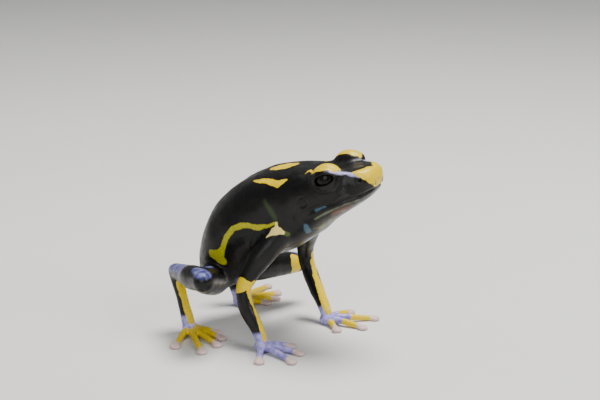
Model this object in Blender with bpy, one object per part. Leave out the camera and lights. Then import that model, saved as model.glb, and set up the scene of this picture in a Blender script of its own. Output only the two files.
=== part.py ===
"""Dyeing poison dart frog (Dendrobates tinctorius), a still life-size model.

The frog sits high on straight arms with its head raised and its hind legs folded.
+X points forwards (the snout), +Y to the frog's left, +Z up, and the floor is z = 0.
Every size is in millimetres until the finished meshes are scaled to metres.
"""

import math

import bmesh
import bpy
import numpy as np
from mathutils import Matrix, Vector

MM = 0.001
GAP = 0.3

# Driving sizes of the animal
SNOUT_TIP = Vector((16.9, 0.0, 31.2))
HEAD_PITCH = math.radians(20.0)
HEAD_ROLL = math.radians(6.5)
NECK_AT = 14.9
EYE_RADIUS = 2.15
EYE_AT = 7.2
EYE_SIDE = 4.2
EYE_UP = 2.6
LID_THICKNESS = 0.55
LID_LENGTHENING = 1.12

# Opening between the lids: half length and half height, its flare, and the way it faces
EYE_OPENING = (1.6, 0.75)
EYE_OPENING_DEPTH = EYE_RADIUS + 3.0
EYE_OPENING_FLARE = 0.12
EYE_LOOKS_FORWARD = 0.25
EYE_LOOKS_UP = 0.12

# Mouth groove: level to the bend, then dropping to the corner
MOUTH_UP = -1.75
MOUTH_BEND_AT = 9.0
MOUTH_CORNER_AT = 12.4
MOUTH_DROP = 0.5
MOUTH_FRONT_AT = 1.12
MOUTH_STATIONS = (MOUTH_CORNER_AT, 10.8, MOUTH_BEND_AT, 7.0, 5.0, 3.4, 2.2, 1.5)
MOUTH_RADII = (0.28, 0.4, 0.42, 0.4, 0.28)

# Nostrils and tympanum: place on the side of the head, half sizes
NOSTRIL_AT = 1.5
NOSTRIL_UP = 0.75
NOSTRIL_SIZE = (0.42, 0.5, 0.32)
EAR_AT = EYE_AT + 4.7
EAR_UP = 0.3
EAR_OUT = 0.1
EAR_SIZE = (1.1, 0.4, 1.2)

# Resolution of the fused body
VOXEL = 0.3
BODY_TRIANGLES = 9200
BODY_SIDES = 32
LIMB_SIDES = 16
DIGIT_SIDES = 12
GROOVE_SIDES = 6
OPENING_SIDES = 20
BULGE_RINGS = 12
PALM_RINGS = 12
EYE_RINGS = 9
DISC_RINGS = 8
EAR_RINGS = 7
NOSTRIL_RINGS = 5

# Steps along each span between two stations
BODY_STEPS = 4
ARM_STEPS = 8
LEG_STEPS = 10
TARSUS_STEPS = 6
DIGIT_STEPS = 5
GROOVE_STEPS = 3

# Turns, in degrees, at which the round end of a limb is drawn in
END_TURNS = (30, 55, 80)

# Smoothing of the fused body: rounds, and how far round a joint or an eye it reaches
SMOOTH_STRENGTH = 0.5
SKIN_ROUNDS = 4
JOINT_ROUNDS = 30
JOINT_REACH = 6.0
LID_ROUNDS = 12
LID_REACH = 4.4
FADE_FROM = 1.4
SHARP_ANGLE = math.radians(50.0)

# Colours and roughness in the photograph
SKIN_COLOUR = (0.012, 0.011, 0.014)
LILAC_COLOUR = (0.16, 0.15, 0.42)
SKIN_ROUGHNESS = 0.28
EYE_ROUGHNESS = 0.08

# Head sections: distance behind the snout tip, top, bottom, half width, squareness
HEAD_SECTIONS = [
    (0.0, 1.7, -0.3, 1.9, 2.3),
    (0.5, 2.1, -1.1, 2.9, 2.4),
    (1.4, 2.4, -2.1, 3.8, 2.5),
    (2.7, 2.7, -3.0, 4.6, 2.6),
    (4.2, 3.05, -3.5, 5.3, 2.6),
    (6.0, 3.45, -4.0, 5.9, 2.6),
    (7.9, 3.9, -4.5, 6.3, 2.5),
    (9.7, 4.4, -5.0, 6.7, 2.5),
    (11.5, 4.9, -5.6, 7.0, 2.5),
    (13.2, 5.4, -6.3, 7.1, 2.5),
    (NECK_AT, 5.8, -7.0, 7.1, 2.5),
]

# Trunk sections: top and bottom in the midline plane (forward, up), half width, roll, squareness
TRUNK_SECTIONS = [
    ((-4.0, 30.5), (0.8, 16.4), 7.6, 10.0, 2.5),
    ((-8.6, 28.2), (-3.2, 14.6), 8.2, 9.0, 2.4),
    ((-12.2, 25.4), (-5.8, 12.2), 8.6, 7.0, 2.25),
    ((-14.9, 22.4), (-7.8, 10.0), 8.5, 4.0, 2.15),
    ((-16.7, 18.5), (-10.2, 8.3), 7.7, 2.0, 2.15),
    ((-17.9, 14.2), (-13.2, 7.4), 6.0, 0.0, 2.15),
    ((-18.9, 10.8), (-16.2, 7.6), 3.4, 0.0, 2.15),
]

# Limb joints, deep inside each limb
RIGHT_ARM = {
    "shoulder": (0.2, -5.4, 20.0),
    "elbow": (-4.0, -10.0, 10.5),
    "wrist": (-0.4, -10.2, 2.3),
}
LEFT_ARM = {
    "shoulder": (0.2, 5.4, 20.6),
    "elbow": (-4.2, 11.1, 11.0),
    "wrist": (1.6, 8.6, 2.3),
}
RIGHT_LEG = {
    "hip": (-14.0, -4.5, 9.2),
    "knee": (-7.5, -17.4, 13.2),
    "heel": (-19.9, -8.2, 11.0),
    "sole": (-16.8, -8.8, 2.0),
}
LEFT_LEG = {
    "hip": (-14.0, 4.5, 9.2),
    "knee": (-9.6, 17.2, 7.8),
    "heel": (-21.3, 8.6, 9.2),
    "sole": (-18.0, 9.4, 2.0),
}

# Where the thin cuts lie: down the arm, out from the midline, up from the wrist and sole
SHOULDER_CUT = 5.2
SHOULDER_CUT_OUT = 0.5
HIP_CUT = 9.3
WRIST_CUT = 0.5
SOLE_CUT = 0.9
NECK_CUT_UP = -1.0

# Reach of each cut behind and into the bend, and its half width
CUT_SIZES = {
    "neck": ((9.5, 9.5), 10.0),
    "shoulder": ((3.4, 3.4), 3.2),
    "elbow": ((3.0, 3.0), 3.0),
    "wrist": ((2.4, 2.4), 2.4),
    "hip": ((4.2, 4.0), 4.0),
    "knee": ((3.4, 11.0), 3.4),
    "heel": ((2.8, 4.2), 2.6),
    "sole": ((2.3, 2.3), 2.3),
}
FLOOR_BLOCK = 120.0

# Limb radii, evenly spaced along each limb
ARM_RADII = (2.6, 2.2, 1.65, 1.4, 1.4, 1.15)
THIGH_RADII = (2.9, 2.75, 2.3, 1.9)
SHANK_RADII = (1.75, 2.05, 1.75, 1.4)
TARSUS_RADII = (1.35, 1.15, 1.2)

# Digits: angle from straight ahead towards the outer side, length from the palm
RIGHT_FINGERS = [(-42, 5.4), (-9, 7.4), (22, 9.0), (60, 7.2)]
LEFT_FINGERS = [(-38, 5.4), (2, 7.6), (42, 9.2), (82, 7.2)]
RIGHT_TOES = [(-18, 5.4), (4, 7.6), (24, 9.8), (44, 12.2), (70, 9.0)]
LEFT_TOES = [(34, 5.4), (54, 7.6), (74, 9.8), (96, 12.2), (122, 9.0)]
DIGIT_RADII = (0.72, 0.55)
DIGIT_HEIGHT = 0.36
DISC_SIZE = (1.1, 1.15, 0.5)
DIGIT_ROOT_AT = 0.4
DIGIT_ROOT_HEIGHT = 0.9
KNUCKLE_SHARE = 0.42
KNUCKLE_HEIGHT = 0.95

# Half sizes of the palms and soles, and where they lie on the wrist or heel
PALM_SIZE = (1.9, 1.7, 1.05)
SOLE_SIZE = (1.9, 1.5, 1.05)
PAD_FORWARD = 0.35
PAD_HEIGHT = 0.8

# A place inside each node: share of the way along a limb, or distance ahead of a palm or sole
UPPER_ARM_INSIDE = 0.75
THIGH_INSIDE = 0.7
SHANK_INSIDE = 0.6
MIDDLE = 0.5
HAND_INSIDE = Vector((2.0, 0.0, 0.0))
FOOT_INSIDE = Vector((3.0, 0.0, 0.0))
HEAD_INSIDE = (9.0, 0.0, 0.0)
TORSO_INSIDE = Vector((-8.0, 0.0, 18.5))


def clear_scene():
    for item in list(bpy.data.objects):
        bpy.data.objects.remove(item, do_unlink=True)


def material(name, colour, roughness):
    """A plain skin or eye material with the colour seen in the photograph."""
    result = bpy.data.materials.new(name)
    result.use_nodes = True
    shader = result.node_tree.nodes["Principled BSDF"]
    shader.inputs["Base Color"].default_value = (*colour, 1.0)
    shader.inputs["Roughness"].default_value = roughness
    shader.inputs["Metallic"].default_value = 0.0
    return result


def new_object(name, bm):
    bm.normal_update()
    bmesh.ops.recalc_face_normals(bm, faces=bm.faces)
    mesh = bpy.data.meshes.new(name)
    bm.to_mesh(mesh)
    bm.free()
    result = bpy.data.objects.new(name, mesh)
    bpy.context.scene.collection.objects.link(result)
    return result


def apply_modifiers(target):
    """Replaces the object's mesh by what its modifiers make of it."""
    graph = bpy.context.evaluated_depsgraph_get()
    graph.update()
    mesh = bpy.data.meshes.new_from_object(target.evaluated_get(graph))
    target.modifiers.clear()
    target.data = mesh


def head_frame():
    """Axes of the head: forwards, left and up, pitched and then rolled about its own axis."""
    forward = Vector((math.cos(HEAD_PITCH), 0.0, math.sin(HEAD_PITCH)))
    up = Vector((-math.sin(HEAD_PITCH), 0.0, math.cos(HEAD_PITCH)))
    left = Vector((0.0, 1.0, 0.0))
    roll = Matrix.Rotation(HEAD_ROLL, 3, forward)
    return forward, roll @ left, roll @ up


def head_point(behind, side, up):
    """A place on the head: behind the snout tip, to the frog's left, and up."""
    forward, left, upward = head_frame()
    return SNOUT_TIP - forward * behind + left * side + upward * up


def section(centre, left, up, half_width, half_height, squareness, sides):
    """Points of one closed section, a superellipse across the body."""
    points = []
    for index in range(sides):
        angle = 2 * math.pi * index / sides
        across = math.copysign(abs(math.cos(angle)) ** (2 / squareness), math.cos(angle))
        high = math.copysign(abs(math.sin(angle)) ** (2 / squareness), math.sin(angle))
        points.append(centre + left * (half_width * across) + up * (half_height * high))
    return points


def loft(name, rings):
    """A closed skin over the rings, with a fan on the middle of each end."""
    bm = bmesh.new()
    sides = len(rings[0])
    loops = [[bm.verts.new(point) for point in ring] for ring in rings]
    for near, far in zip(loops, loops[1:]):
        for index in range(sides):
            after = (index + 1) % sides
            bm.faces.new((near[index], near[after], far[after], far[index]))
    for loop in (loops[0], loops[-1]):
        hub = bm.verts.new(sum((vert.co for vert in loop), Vector()) / sides)
        for index in range(sides):
            bm.faces.new((loop[index], loop[(index + 1) % sides], hub))
    return new_object(name, bm)


def spline(points, count):
    """Catmull-Rom points through the given ones, count of them to each span."""
    ends = [points[0] * 2 - points[1], *points, points[-1] * 2 - points[-2]]
    result = []
    for a, b, c, d in zip(ends, ends[1:], ends[2:], ends[3:]):
        for step in range(count):
            t = step / count
            result.append(
                0.5 * (2 * b + (c - a) * t + (2 * a - 5 * b + 4 * c - d) * t**2
                       + (3 * b - a - 3 * c + d) * t**3)
            )
    result.append(points[-1].copy())
    return result


def tube(name, points, radii, sides=LIMB_SIDES):
    """A round limb along the points, closed by round ends."""
    along = [0.0]
    for before, after in zip(points, points[1:]):
        along.append(along[-1] + (after - before).length)
    places = [along[-1] * index / (len(radii) - 1) for index in range(len(radii))]
    sizes = np.interp(along, places, radii)
    rings = []
    left = (points[1] - points[0]).orthogonal().normalized()
    for index, point in enumerate(points):
        before = points[max(index - 1, 0)]
        after = points[min(index + 1, len(points) - 1)]
        heading = (after - before).normalized()
        left = (left - heading * left.dot(heading)).normalized()
        up = heading.cross(left)
        turns = [0]
        if index == 0:
            turns = [-turn for turn in reversed(END_TURNS)] + [0]
        if index == len(points) - 1:
            turns = [0, *END_TURNS]
        for turn in turns:
            size = float(sizes[index]) * math.cos(math.radians(turn))
            middle = point + heading * (float(sizes[index]) * math.sin(math.radians(turn)))
            rings.append(section(middle, left, up, size, size, 2, sides))
    return loft(name, rings)


def ellipsoid(name, centre, axes, sizes, rings):
    """A closed egg with its three half sizes along the three axes."""
    bm = bmesh.new()
    bmesh.ops.create_uvsphere(bm, u_segments=rings * 2, v_segments=rings, radius=1.0)
    turn = Matrix(axes).transposed()
    for vert in bm.verts:
        scaled = Vector(co * size for co, size in zip(vert.co, sizes))
        vert.co = centre + turn @ scaled
    return new_object(name, bm)


def body_sections():
    """Frames and sizes of the head and trunk sections, from the snout to the vent."""
    _, left, up = head_frame()
    for behind, top, bottom, half_width, squareness in HEAD_SECTIONS:
        centre = head_point(behind, 0.0, (top + bottom) / 2)
        yield [*centre, *left, *up, half_width, (top - bottom) / 2, squareness]
    for top, bottom, half_width, roll, squareness in TRUNK_SECTIONS:
        high = Vector((top[0], 0.0, top[1]))
        low = Vector((bottom[0], 0.0, bottom[1]))
        rise = (high - low).normalized()
        turn = Matrix.Rotation(math.radians(roll), 3, rise.cross(Vector((0, 1, 0))) * -1)
        across = turn @ Vector((0.0, 1.0, 0.0))
        half_height = (high - low).length / 2
        yield [*((high + low) / 2), *across, *(turn @ rise), half_width, half_height, squareness]


def body_loft():
    """Head and trunk as one skin, with smooth spans between the sections."""
    rows = [np.array(row) for row in body_sections()]
    rings = []
    for row in spline(rows, BODY_STEPS):
        centre, left, up = (Vector(row[index : index + 3]) for index in (0, 3, 6))
        left.normalize()
        up.normalize()
        rings.append(section(centre, left, up, *row[9:], BODY_SIDES))
    return loft("body", rings)


def eye_centre(side):
    return head_point(EYE_AT, side * EYE_SIDE, EYE_UP)


def eyelid_bulges():
    axes = head_frame()
    size = EYE_RADIUS + LID_THICKNESS
    sizes = (size * LID_LENGTHENING, size, size)
    for side in (-1, 1):
        yield ellipsoid("bulge", eye_centre(side), axes, sizes, BULGE_RINGS)


def joint_points(limb):
    """The limb's joints as vectors, in order down the limb."""
    return [Vector(place) for place in limb.values()]


def arm_pieces(arm):
    yield tube("arm", spline(joint_points(arm), ARM_STEPS), ARM_RADII)


def leg_pieces(leg):
    hip, knee, heel, sole = joint_points(leg)
    yield tube("thigh", spline([hip, knee], LEG_STEPS), THIGH_RADII)
    yield tube("shank", spline([knee, heel], LEG_STEPS), SHANK_RADII)
    yield tube("tarsus", spline([heel, sole], TARSUS_STEPS), TARSUS_RADII)


def digit_pieces(root, side, digits, palm):
    """Palm or sole pad with its fingers or toes, each ending in a broad flat disc."""
    flat = ((1, 0, 0), (0, 1, 0), (0, 0, 1))
    pad = Vector((root.x + palm[0] * PAD_FORWARD, root.y, palm[2] * PAD_HEIGHT))
    yield ellipsoid("palm", pad, flat, palm, PALM_RINGS)
    for angle, length in digits:
        turn = math.radians(angle)
        heading = Vector((math.cos(turn), side * math.sin(turn), 0.0))
        tip = Vector((root.x, root.y, DIGIT_HEIGHT)) + heading * length
        knuckle = Vector((root.x, root.y, KNUCKLE_HEIGHT)) + heading * (length * KNUCKLE_SHARE)
        base = Vector((root.x, root.y, DIGIT_ROOT_HEIGHT)) + heading * DIGIT_ROOT_AT
        yield tube("digit", spline([base, knuckle, tip], DIGIT_STEPS), DIGIT_RADII, DIGIT_SIDES)
        across = Vector((-heading.y, heading.x, 0.0))
        yield ellipsoid("disc", tip, (heading, across, (0, 0, 1)), DISC_SIZE, DISC_RINGS)


def flesh_pieces():
    yield body_loft()
    yield from eyelid_bulges()
    for side, arm, fingers in ((-1, RIGHT_ARM, RIGHT_FINGERS), (1, LEFT_ARM, LEFT_FINGERS)):
        yield from arm_pieces(arm)
        yield from digit_pieces(Vector(arm["wrist"]), side, fingers, PALM_SIZE)
    for side, leg, toes in ((-1, RIGHT_LEG, RIGHT_TOES), (1, LEFT_LEG, LEFT_TOES)):
        yield from leg_pieces(leg)
        yield from digit_pieces(Vector(leg["sole"]), side, toes, SOLE_SIZE)


def fuse(pieces):
    """Joins closed pieces and remeshes them into one skin."""
    bm = bmesh.new()
    for piece in pieces:
        bm.from_mesh(piece.data)
        bpy.data.objects.remove(piece, do_unlink=True)
    whole = new_object("frog", bm)
    remesh = whole.modifiers.new("remesh", "REMESH")
    remesh.mode = "VOXEL"
    remesh.voxel_size = VOXEL
    apply_modifiers(whole)
    return whole


def smooth(target, rounds, weight_of):
    """Moves every point towards its neighbours, as far as its weight lets it."""
    mesh = target.data
    count = len(mesh.vertices)
    points = np.empty(count * 3)
    mesh.vertices.foreach_get("co", points)
    points = points.reshape(count, 3)
    edges = np.empty(len(mesh.edges) * 2, dtype=np.int64)
    mesh.edges.foreach_get("vertices", edges)
    edges = edges.reshape(-1, 2)
    degree = np.bincount(edges.ravel(), minlength=count)[:, None]
    weight = weight_of(points)[:, None] * SMOOTH_STRENGTH
    for _ in range(rounds):
        total = np.zeros_like(points)
        for axis in range(3):
            total[:, axis] = np.bincount(edges[:, 0], points[edges[:, 1], axis], count)
            total[:, axis] += np.bincount(edges[:, 1], points[edges[:, 0], axis], count)
        points += weight * (total / degree - points)
    mesh.vertices.foreach_set("co", points.ravel())
    mesh.update()


def near_joint(points, centres, reach):
    """1 close to any of the centres, falling to 0 past the reach."""
    nearest = np.full(len(points), np.inf)
    for centre in centres:
        nearest = np.minimum(nearest, np.linalg.norm(points - np.array(centre), axis=1))
    return np.clip(FADE_FROM - nearest / reach, 0.0, 1.0)


def cut_away(target, cutter):
    """Takes the closed cutter out of the target and removes it."""
    step = target.modifiers.new("cut", "BOOLEAN")
    step.operation = "DIFFERENCE"
    step.solver = "EXACT"
    step.object = cutter
    apply_modifiers(target)
    bpy.data.objects.remove(cutter, do_unlink=True)


def decimate(target, triangles):
    step = target.modifiers.new("fewer", "DECIMATE")
    step.ratio = triangles / (2 * len(target.data.polygons))
    apply_modifiers(target)


def slab(centre, normal, inward, reach, half_width):
    """A flat plate one gap thick, across a joint; inward points into the bend."""
    normal = normal.normalized()
    inward = (inward - normal * inward.dot(normal)).normalized()
    across = normal.cross(inward)
    bm = bmesh.new()
    bmesh.ops.create_cube(bm, size=1.0)
    for vert in bm.verts:
        deep = reach[1] if vert.co.x > 0 else -reach[0]
        vert.co = (
            centre + inward * deep + across * (2 * half_width * vert.co.y) + normal * (GAP * vert.co.z)
        )
    return new_object("slab", bm)


def bend_slab(before, joint, after, reach, half_width):
    """Parts two limb segments along the plane that halves their bend."""
    first = (before - joint).normalized()
    second = (after - joint).normalized()
    return slab(joint, first - second, first + second, reach, half_width)


def joint_cuts():
    """The thin plates that part the fused body into its nodes."""
    forward, _, up = head_frame()
    ahead = Vector((1.0, 0.0, 0.0))
    yield slab(head_point(NECK_AT, 0.0, NECK_CUT_UP), forward, up, *CUT_SIZES["neck"])
    for side, arm, leg in ((-1, RIGHT_ARM, RIGHT_LEG), (1, LEFT_ARM, LEFT_LEG)):
        shoulder, elbow, wrist = joint_points(arm)
        hip, knee, heel, sole = joint_points(leg)
        outward = Vector((0.0, side, 0.0))
        upper = (elbow - shoulder).normalized()
        lower = (wrist - elbow).normalized()
        armpit = shoulder + upper * SHOULDER_CUT + outward * SHOULDER_CUT_OUT
        yield slab(armpit, upper, ahead, *CUT_SIZES["shoulder"])
        yield bend_slab(shoulder, elbow, wrist, *CUT_SIZES["elbow"])
        yield slab(wrist - lower * WRIST_CUT, lower, ahead, *CUT_SIZES["wrist"])
        thigh = (knee - hip).normalized()
        root = hip + thigh * ((HIP_CUT - abs(hip.y)) / abs(thigh.y))
        yield slab(root, outward, ahead, *CUT_SIZES["hip"])
        yield bend_slab(hip, knee, heel, *CUT_SIZES["knee"])
        yield bend_slab(knee, heel, sole, *CUT_SIZES["heel"])
        shin = (sole - heel).normalized()
        yield slab(sole - shin * SOLE_CUT, shin, ahead, *CUT_SIZES["sole"])


def islands(target):
    """The separate closed surfaces of a mesh, as lists of faces, largest first."""
    bm = bmesh.new()
    bm.from_mesh(target.data)
    seen = set()
    groups = []
    for face in bm.faces:
        if face.index in seen:
            continue
        seen.add(face.index)
        stack = [face]
        group = []
        while stack:
            current = stack.pop()
            group.append(current)
            for edge in current.edges:
                for other in edge.link_faces:
                    if other.index not in seen:
                        seen.add(other.index)
                        stack.append(other)
        groups.append(group)
    groups.sort(key=len, reverse=True)
    return bm, groups


def from_faces(name, faces):
    bm = bmesh.new()
    copies = {}
    for face in faces:
        corners = []
        for vert in face.verts:
            if vert.index not in copies:
                copies[vert.index] = bm.verts.new(vert.co)
            corners.append(copies[vert.index])
        bm.faces.new(corners)
    return new_object(name, bm)


def node_labels():
    """A point inside each node, by the node's name."""
    labels = {"head": head_point(*HEAD_INSIDE), "torso": TORSO_INSIDE}
    for word, arm, leg in (("right", RIGHT_ARM, RIGHT_LEG), ("left", LEFT_ARM, LEFT_LEG)):
        shoulder, elbow, wrist = joint_points(arm)
        hip, knee, heel, sole = joint_points(leg)
        labels[f"upper_arm_{word}"] = shoulder.lerp(elbow, UPPER_ARM_INSIDE)
        labels[f"forearm_{word}"] = elbow.lerp(wrist, MIDDLE)
        labels[f"hand_{word}"] = wrist + HAND_INSIDE
        labels[f"thigh_{word}"] = hip.lerp(knee, THIGH_INSIDE)
        labels[f"shank_{word}"] = knee.lerp(heel, SHANK_INSIDE)
        labels[f"tarsus_{word}"] = heel.lerp(sole, MIDDLE)
        labels[f"foot_{word}"] = sole + FOOT_INSIDE
    return labels


def part_into_nodes(target):
    """Names every separate piece of the cut body by the label that lies in it."""
    labels = node_labels()
    bm, groups = islands(target)
    groups = groups[: len(labels)]
    nodes = {}
    for group in groups:
        centre = sum((face.calc_center_median() for face in group), Vector()) / len(group)
        name = min(labels, key=lambda key: (labels[key] - centre).length)
        nodes[name] = from_faces(name, group)
        del labels[name]
    bm.free()
    bpy.data.objects.remove(target, do_unlink=True)
    return nodes


def head_side(behind, up):
    """How far to the side the head's skin lies at a height, from its sections."""
    rows = np.array(HEAD_SECTIONS)
    top, bottom, half_width, squareness = (np.interp(behind, rows[:, 0], rows[:, k]) for k in range(1, 5))
    share = abs(up - (top + bottom) / 2) / ((top - bottom) / 2)
    return half_width * max(0.0, 1 - share**squareness) ** (1 / squareness)


def mouth_up(behind):
    """The height of the mouth line, level along the lip and turned down at its corner."""
    past_bend = max(0.0, (behind - MOUTH_BEND_AT) / (MOUTH_CORNER_AT - MOUTH_BEND_AT))
    return MOUTH_UP - MOUTH_DROP * past_bend**2


def mouth_cutter():
    """A thin groove round the snout, from one corner of the mouth to the other."""
    right = [(behind, head_side(behind, mouth_up(behind))) for behind in MOUTH_STATIONS]
    places = [head_point(behind, -side, mouth_up(behind)) for behind, side in right]
    places.append(head_point(MOUTH_FRONT_AT, 0.0, MOUTH_UP))
    places += [head_point(behind, side, mouth_up(behind)) for behind, side in reversed(right)]
    return tube("mouth", spline(places, GROOVE_STEPS), MOUTH_RADII, GROOVE_SIDES)


def nostril_cutters():
    for side in (-1, 1):
        centre = head_point(NOSTRIL_AT, side * head_side(NOSTRIL_AT, NOSTRIL_UP), NOSTRIL_UP)
        yield ellipsoid("nostril", centre, head_frame(), NOSTRIL_SIZE, NOSTRIL_RINGS)


def ear_cutters():
    """The shallow disc of the tympanum, behind and below the eye."""
    for side in (-1, 1):
        centre = head_point(EAR_AT, side * (head_side(EAR_AT, EAR_UP) + EAR_OUT), EAR_UP)
        yield ellipsoid("tympanum", centre, head_frame(), EAR_SIZE, EAR_RINGS)


def eye_opening(side):
    """The lens-shaped opening between the lids, cut right through to the socket."""
    forward, left, up = head_frame()
    outward = (left * side + forward * EYE_LOOKS_FORWARD + up * EYE_LOOKS_UP).normalized()
    along = (forward - outward * forward.dot(outward)).normalized()
    high = outward.cross(along)
    rings = []
    for depth in (0.0, EYE_OPENING_DEPTH):
        centre = eye_centre(side) + outward * depth
        grow = 1.0 + EYE_OPENING_FLARE * depth / EYE_RADIUS
        half_length, half_height = (size * grow for size in EYE_OPENING)
        rings.append(section(centre, along, high, half_length, half_height, 2, OPENING_SIDES))
    return loft("opening", rings)


def carve_head(head):
    """Eye sockets, lid openings, mouth line, nostrils and ears."""
    axes = head_frame()
    sizes = (EYE_RADIUS + GAP,) * 3
    for side in (-1, 1):
        cut_away(head, ellipsoid("socket", eye_centre(side), axes, sizes, EYE_RINGS))
        cut_away(head, eye_opening(side))
    cut_away(head, mouth_cutter())
    for cutter in (*nostril_cutters(), *ear_cutters()):
        cut_away(head, cutter)


def main_surface(target):
    """Keeps only the largest closed surface of a node."""
    bm, groups = islands(target)
    kept = from_faces("kept", groups[0])
    bm.free()
    target.data = kept.data
    bpy.data.objects.remove(kept, do_unlink=True)


def finish(nodes):
    """Centres the frog over its box, scales it to metres and shades it."""
    low = Vector((math.inf,) * 3)
    high = Vector((-math.inf,) * 3)
    for node in nodes.values():
        for vert in node.data.vertices:
            low = Vector(map(min, low, vert.co))
            high = Vector(map(max, high, vert.co))
    origin = Vector(((low.x + high.x) / 2, (low.y + high.y) / 2, low.z))
    place = Matrix.Scale(MM, 4) @ Matrix.Translation(-origin)
    for node in nodes.values():
        node.data.transform(place)
        node.data.shade_smooth()
        node.data.set_sharp_from_angle(angle=SHARP_ANGLE)


def smooth_joints_and_lids(frog):
    """Evens out the whole skin, and more so the shoulders, hips and eyelids."""
    joints = [RIGHT_ARM["shoulder"], LEFT_ARM["shoulder"], RIGHT_LEG["hip"], LEFT_LEG["hip"]]
    eyes = [eye_centre(-1), eye_centre(1)]
    smooth(frog, SKIN_ROUNDS, lambda points: np.ones(len(points)))
    smooth(frog, JOINT_ROUNDS, lambda points: near_joint(points, joints, JOINT_REACH))
    smooth(frog, LID_ROUNDS, lambda points: near_joint(points, eyes, LID_REACH))


def floor_cutter():
    """A block whose top is the floor, which makes the flats under the hands and feet."""
    bm = bmesh.new()
    bmesh.ops.create_cube(bm, size=FLOOR_BLOCK)
    bmesh.ops.translate(bm, vec=(0, 0, -FLOOR_BLOCK / 2), verts=bm.verts)
    return new_object("floor", bm)


def eyeballs():
    for side, word in ((-1, "right"), (1, "left")):
        sizes = (EYE_RADIUS,) * 3
        yield ellipsoid(f"eye_{word}", eye_centre(side), head_frame(), sizes, EYE_RINGS)


def colour_nodes(nodes):
    for name, node in nodes.items():
        colour = LILAC_COLOUR if name.startswith(("hand", "foot")) else SKIN_COLOUR
        roughness = EYE_ROUGHNESS if name.startswith("eye") else SKIN_ROUGHNESS
        node.data.materials.append(material(f"{name}_material", colour, roughness))


def build():
    clear_scene()
    frog = fuse(flesh_pieces())
    smooth_joints_and_lids(frog)
    decimate(frog, BODY_TRIANGLES)
    cut_away(frog, floor_cutter())
    for cut in joint_cuts():
        cut_away(frog, cut)
    nodes = part_into_nodes(frog)
    carve_head(nodes["head"])
    for node in nodes.values():
        main_surface(node)
    for eye in eyeballs():
        nodes[eye.name] = eye
    finish(nodes)
    colour_nodes(nodes)


build()
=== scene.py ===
"""The looks of the dyeing poison dart frog: one fine skin with its markings, and wet dark eyes.

The skin is built in millimetres in the frog's own frame (its origin on the floor, midway between
the hands; +X to the snout, +Y to the frog's left, +Z up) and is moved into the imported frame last.
"""

import math

import bmesh
import bpy
import numpy as np
from mathutils import Matrix, Vector

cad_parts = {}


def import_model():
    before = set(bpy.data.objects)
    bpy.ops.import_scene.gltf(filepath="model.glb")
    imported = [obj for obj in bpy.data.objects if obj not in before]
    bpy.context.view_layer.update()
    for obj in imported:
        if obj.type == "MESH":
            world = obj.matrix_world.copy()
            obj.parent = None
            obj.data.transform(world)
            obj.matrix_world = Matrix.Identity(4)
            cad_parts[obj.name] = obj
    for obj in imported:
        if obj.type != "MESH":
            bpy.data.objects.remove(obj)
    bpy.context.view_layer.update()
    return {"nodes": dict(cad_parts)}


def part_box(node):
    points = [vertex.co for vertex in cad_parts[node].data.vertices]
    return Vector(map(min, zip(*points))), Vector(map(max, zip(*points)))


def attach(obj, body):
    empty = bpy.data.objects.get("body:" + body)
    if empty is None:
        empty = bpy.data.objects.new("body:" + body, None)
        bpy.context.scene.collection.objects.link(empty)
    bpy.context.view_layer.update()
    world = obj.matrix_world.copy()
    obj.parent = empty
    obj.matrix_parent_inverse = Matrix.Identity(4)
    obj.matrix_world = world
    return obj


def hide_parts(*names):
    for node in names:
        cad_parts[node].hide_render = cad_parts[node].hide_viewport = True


MM = 0.001
SIDES = (("right", -1), ("left", 1))

# Camera: the photograph's viewing angle, distance and width of view
AZIMUTH = math.radians(31.4)
ELEVATION = math.radians(14.0)
CAMERA_DISTANCE = 0.290
FIELD_WIDTH = 0.10345
CAMERA_AIM = Vector((3.56, -3.69, 26.06))
SENSOR_WIDTH = 36.0
CLIP_START = 0.01

# Head
SNOUT_TIP = Vector((16.9, 0.0, 31.2))
HEAD_PITCH = math.radians(20.0)
HEAD_ROLL = math.radians(6.5)
NECK_AT = 14.9
EYE_RADIUS = 2.15
EYE_AT = 7.2
EYE_SIDE = 4.2
EYE_UP = 2.6
LID_THICKNESS = 0.55
LID_LENGTHENING = 1.12
SOCKET_GAP = 0.06
EYE_GAP = 0.04
EYE_OPENING = (1.62, 0.78)
EYE_OPENING_FLARE = 0.12
OPENING_PAST_SKIN = 3.0
EYE_LOOKS_FORWARD = 0.25
EYE_LOOKS_UP = 0.12
CORNEA = (0.12, 1.2)
PUPIL_HALF = (0.95, 0.62)

# Mouth, nostrils and tympanum, in head coordinates
MOUTH_UP = -1.75
MOUTH_BEND_AT = 9.0
MOUTH_CORNER_AT = 12.4
MOUTH_DROP = 0.5
MOUTH_FRONT_AT = 0.7
MOUTH_STATIONS = (MOUTH_CORNER_AT, 10.8, MOUTH_BEND_AT, 7.0, 5.0, 3.4, 2.2, 1.3)
NOSTRIL_AT = 1.5
NOSTRIL_UP = 0.75
EAR_AT = EYE_AT + 4.7
EAR_UP = 0.3
EAR_RADIUS = 1.15

# Head sections: distance behind the snout tip, top, bottom, half width, squareness
HEAD_SECTIONS = [
    (0.0, 1.7, -0.3, 1.9, 2.3),
    (0.5, 2.1, -1.1, 2.9, 2.4),
    (1.4, 2.4, -2.1, 3.8, 2.5),
    (2.7, 2.7, -3.0, 4.6, 2.6),
    (4.2, 3.05, -3.5, 5.3, 2.6),
    (6.0, 3.45, -4.0, 5.9, 2.6),
    (7.9, 3.9, -4.5, 6.3, 2.5),
    (9.7, 4.4, -5.0, 6.7, 2.5),
    (11.5, 4.9, -5.6, 7.0, 2.5),
    (13.2, 5.4, -6.3, 7.1, 2.5),
    (NECK_AT, 5.8, -7.0, 7.1, 2.5),
]

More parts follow.
